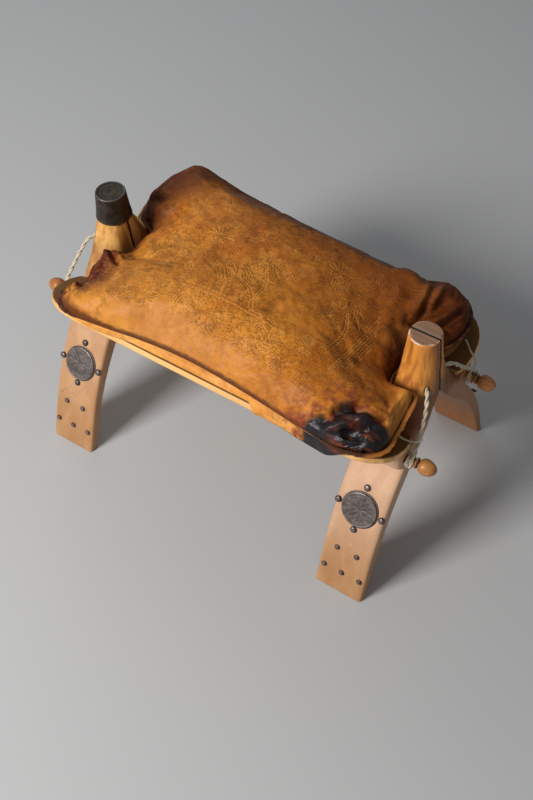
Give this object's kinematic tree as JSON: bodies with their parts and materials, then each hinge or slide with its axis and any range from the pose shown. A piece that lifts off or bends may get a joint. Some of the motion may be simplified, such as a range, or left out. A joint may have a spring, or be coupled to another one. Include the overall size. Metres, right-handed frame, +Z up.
{
  "type": "camel saddle stool",
  "caption": "Low stool with splayed curved legs rising into rounded end posts, lashed stretcher rods, tilted seat boards and a loose stuffed leather cushion.",
  "frame": {"origin": "on the floor, midway between the four feet", "axes": "+X along the seat towards the pommel without a cap, -Y towards the front, +Z up"},
  "size_m": [0.7256, 0.4216, 0.4225],
  "materials": {
    "beech": "thin worn varnish over pale straight-grained wood",
    "oiled_wood": "honey-coloured varnish, satin",
    "dark_bronze": "dark oxidised bronze, rubbed on the rims",
    "tan_leather": "waxed tan leather, stained dark at the edges",
    "fibre_filling": "loose stuffing",
    "cotton_cord": "undyed twisted cotton"
  },
  "bodies": {
    "frame": {"finial_front_left": "oiled_wood", "finial_front_right": "oiled_wood", "finial_rear_left": "oiled_wood", "finial_rear_right": "oiled_wood", "lashing_left": "cotton_cord", "lashing_right": "cotton_cord", "leg_front_left": "beech", "leg_front_right": "beech", "leg_rear_left": "beech", "leg_rear_right": "beech", "lower_stud_front_left_1": "dark_bronze", "lower_stud_front_left_2": "dark_bronze", "lower_stud_front_left_3": "dark_bronze", "lower_stud_front_left_4": "dark_bronze", "lower_stud_front_left_5": "dark_bronze", "lower_stud_front_right_1": "dark_bronze", "lower_stud_front_right_2": "dark_bronze", "lower_stud_front_right_3": "dark_bronze", "lower_stud_front_right_4": "dark_bronze", "lower_stud_front_right_5": "dark_bronze", "lower_stud_rear_left_1": "dark_bronze", "lower_stud_rear_left_2": "dark_bronze", "lower_stud_rear_left_3": "dark_bronze", "lower_stud_rear_left_4": "dark_bronze", "lower_stud_rear_left_5": "dark_bronze", "lower_stud_rear_right_1": "dark_bronze", "lower_stud_rear_right_2": "dark_bronze", "lower_stud_rear_right_3": "dark_bronze", "lower_stud_rear_right_4": "dark_bronze", "lower_stud_rear_right_5": "dark_bronze", "medallion_front_left": "dark_bronze", "medallion_front_right": "dark_bronze", "medallion_rear_left": "dark_bronze", "medallion_rear_right": "dark_bronze", "medallion_stud_front_left_1": "dark_bronze", "medallion_stud_front_left_2": "dark_bronze", "medallion_stud_front_left_3": "dark_bronze", "medallion_stud_front_left_4": "dark_bronze", "medallion_stud_front_right_1": "dark_bronze", "medallion_stud_front_right_2": "dark_bronze", "medallion_stud_front_right_3": "dark_bronze", "medallion_stud_front_right_4": "dark_bronze", "medallion_stud_rear_left_1": "dark_bronze", "medallion_stud_rear_left_2": "dark_bronze", "medallion_stud_rear_left_3": "dark_bronze", "medallion_stud_rear_left_4": "dark_bronze", "medallion_stud_rear_right_1": "dark_bronze", "medallion_stud_rear_right_2": "dark_bronze", "medallion_stud_rear_right_3": "dark_bronze", "medallion_stud_rear_right_4": "dark_bronze", "pommel_cap": "dark_bronze", "seat_board_front": "oiled_wood", "seat_board_rear": "oiled_wood", "stretcher_rod_front": "oiled_wood", "stretcher_rod_rear": "oiled_wood"},
    "cushion": {"cushion_bottom": "tan_leather", "cushion_filling": "fibre_filling", "cushion_tie_front": "cotton_cord", "cushion_tie_rear": "cotton_cord", "cushion_top": "tan_leather"}
  },
  "joints": [
    {"name": "cushion_lift", "type": "slide", "parent": "frame", "child": "cushion", "axis": [0, 0, 1], "range_m": [0, 0.15]}
  ]
}
